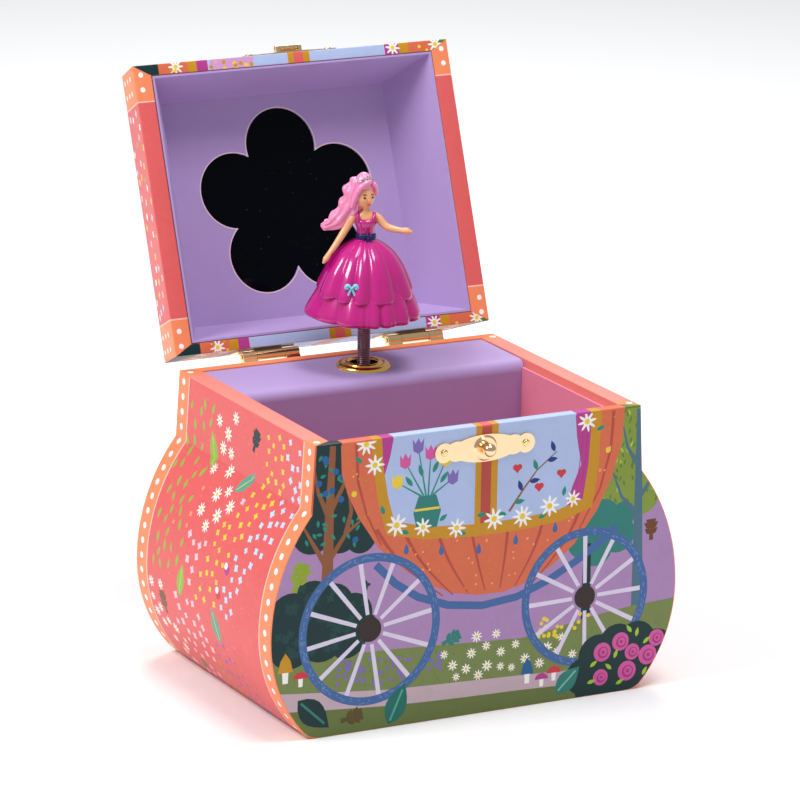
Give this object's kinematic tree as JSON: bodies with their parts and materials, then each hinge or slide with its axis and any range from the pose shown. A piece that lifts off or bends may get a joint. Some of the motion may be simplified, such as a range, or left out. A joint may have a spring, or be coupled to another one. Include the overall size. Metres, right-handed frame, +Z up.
{
  "type": "musical jewellery box",
  "caption": "Round-bellied musical jewellery box shaped like a carriage, with a hinged mirror lid, a front compartment and a doll that turns on a coil spring.",
  "frame": {"origin": "middle of the base, on the surface it stands on", "axes": "+X to the right seen from the front, +Y to the back where the hinges are, +Z up; the lid is drawn open"},
  "size_m": [0.1636, 0.182, 0.2135],
  "materials": {
    "printed_board_front": "lilac ground with an orange carriage motif, printed on laminated paper over thin board",
    "printed_board_side": "coral ground with flowers and leaves, printed on laminated paper over thin board",
    "printed_board_lid": "printed laminated paper over thin board",
    "base_board": "bare board under matt paper",
    "rail_wood": "bare softwood",
    "pink_liner": "matt pink paper over card",
    "lilac_paper": "satin lilac paper over card",
    "gold_fitting": "pale gold plated, glossy",
    "rose_gold_fitting": "pale rose-gold plated, glossy",
    "mirror_glass": "polished",
    "movement_brass": "machined",
    "movement_steel": "brushed",
    "spring_steel": "satin",
    "pinion_plastic": "moulded",
    "fan_plastic": "moulded",
    "figure_spring": "bright wire",
    "doll_plastic": "moulded, painted",
    "skirt_magenta": "glossy moulded",
    "belt_blue": "glossy painted",
    "hair_pink": "moulded",
    "tiara_silver": "bright",
    "bow_blue": "glossy painted"
  },
  "bodies": {
    "box": {"front_panel": "printed_board_front", "back_panel": "printed_board_front", "left_side_wall": "printed_board_side", "right_side_wall": "printed_board_side", "base_board": "base_board", "compartment_liner": "pink_liner", "platform_cover": "lilac_paper", "platform_rails": "rail_wood", "spindle_grommet": "gold_fitting", "hinge_lower_leaves": "gold_fitting", "hinge_pins": "gold_fitting", "box_nails": "gold_fitting", "clasp_lower_plate": "rose_gold_fitting", "clasp_stud": "rose_gold_fitting", "movement_front_plate": "movement_brass", "movement_back_plate": "movement_brass", "plate_pillars": "movement_brass", "movement_screws": "movement_steel", "spring_case": "movement_brass", "mainspring": "spring_steel", "comb": "spring_steel", "comb_block": "movement_steel", "comb_screws": "movement_steel", "spindle_foot": "movement_steel", "spindle_bridge": "movement_steel"},
    "lid": {"lid_front_wall": "printed_board_lid", "lid_back_wall": "printed_board_lid", "lid_left_wall": "printed_board_lid", "lid_right_wall": "printed_board_lid", "lid_roof_board": "printed_board_lid", "lid_mirror": "mirror_glass", "lid_lining": "lilac_paper", "hinge_upper_leaves": "gold_fitting", "lid_nails": "gold_fitting", "clasp_upper_plate": "rose_gold_fitting", "hasp_pin": "rose_gold_fitting"},
    "hasp": {"clasp_hasp": "rose_gold_fitting"},
    "drive": {"great_wheel": "movement_brass", "winding_arbor": "movement_steel", "winding_key": "movement_steel"},
    "cylinder": {"pin_cylinder": "movement_brass", "cylinder_arbor": "movement_steel", "cylinder_wheel": "movement_brass"},
    "governor": {"fan_pinion": "movement_steel", "governor_fan": "fan_plastic"},
    "spindle": {"spindle_shaft": "movement_steel", "spindle_pinion": "pinion_plastic"},
    "fold": {"coil_spring": "figure_spring", "spring_spigot": "pinion_plastic"},
    "doll": {"doll_stem": "doll_plastic", "skirt_upper_tier": "skirt_magenta", "skirt_lower_tier": "skirt_magenta", "waist_belt": "belt_blue", "torso": "doll_plastic", "head": "doll_plastic", "hair": "hair_pink", "tiara": "tiara_silver", "left_arm": "doll_plastic", "right_arm": "doll_plastic", "dress_bows": "bow_blue"}
  },
  "joints": [
    {"name": "lid_hinge", "type": "hinge", "parent": "box", "child": "lid", "pos_m": [0, 0.058, 0.1083], "axis": [1, 0, 0], "range_deg": [0, 111]},
    {"name": "hasp_hinge", "type": "hinge", "parent": "lid", "child": "hasp", "pos_m": [0.0015, 0.10322, 0.21244], "axis": [1, 0, 0], "range_deg": [0, 180]},
    {"name": "drive_spin", "type": "hinge", "parent": "box", "child": "drive", "pos_m": [0, 0.045, 0.062], "axis": [0, 1, 0], "continuous": true},
    {"name": "cylinder_spin", "type": "hinge", "parent": "box", "child": "cylinder", "pos_m": [0.021, 0.035, 0.062], "axis": [0, 1, 0], "continuous": true},
    {"name": "governor_spin", "type": "hinge", "parent": "box", "child": "governor", "pos_m": [0.02681, 0.035, 0.04603], "axis": [0, 1, 0], "continuous": true},
    {"name": "spindle_spin", "type": "hinge", "parent": "box", "child": "spindle", "pos_m": [0, 0.035, 0.0755], "axis": [0, 0, 1], "continuous": true},
    {"name": "figure_fold", "type": "hinge", "parent": "box", "child": "fold", "pos_m": [0, 0.035, 0.105], "axis": [1, 0, 0], "range_deg": [0, 90], "deforming": ["coil_spring"]},
    {"name": "figure_spin", "type": "hinge", "parent": "fold", "child": "doll", "pos_m": [0, 0.035, 0.15], "axis": [0, 0, 1], "continuous": true}
  ],
  "couplings": [
    {"joint": "figure_fold", "follows": "lid_hinge", "ratio": 0.8108},
    {"joint": "cylinder_spin", "follows": "drive_spin", "ratio": -2.5},
    {"joint": "governor_spin", "follows": "drive_spin", "ratio": 11.667},
    {"joint": "spindle_spin", "follows": "drive_spin", "ratio": -2.625},
    {"joint": "figure_spin", "follows": "drive_spin", "ratio": -2.625}
  ]
}
